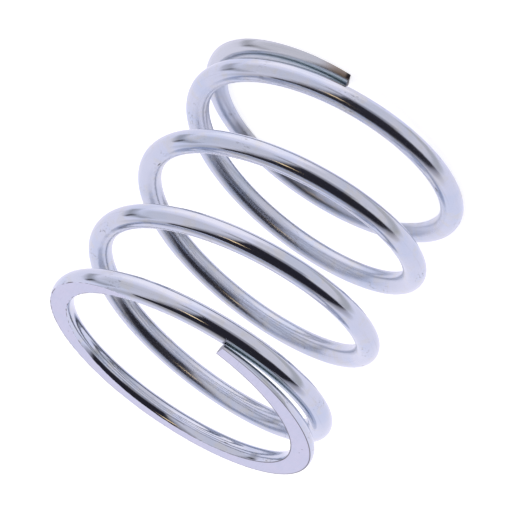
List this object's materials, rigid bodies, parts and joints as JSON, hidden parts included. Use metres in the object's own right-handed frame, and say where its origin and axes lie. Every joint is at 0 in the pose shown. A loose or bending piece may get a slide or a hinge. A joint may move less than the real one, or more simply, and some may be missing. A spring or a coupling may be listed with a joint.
{
  "type": "compression spring",
  "caption": "Short zinc-plated compression spring of round wire, with end coils closed and ground flat, that pushes two parts apart.",
  "frame": {"origin": "in the plane of the lower ground face, under the middle of the coil", "axes": "+Z square to both ground faces, from the lower one to the upper one; -Y is the side on which both wire tips lie"},
  "size_m": [0.0262, 0.026, 0.0255],
  "materials": {
    "zinc_plated_steel": "bright zinc-plated spring steel wire with a faint blue tint and fine draw lines, end faces ground satin"
  },
  "bodies": {
    "root": {"compression_spring": "zinc_plated_steel"}
  },
  "joints": []
}
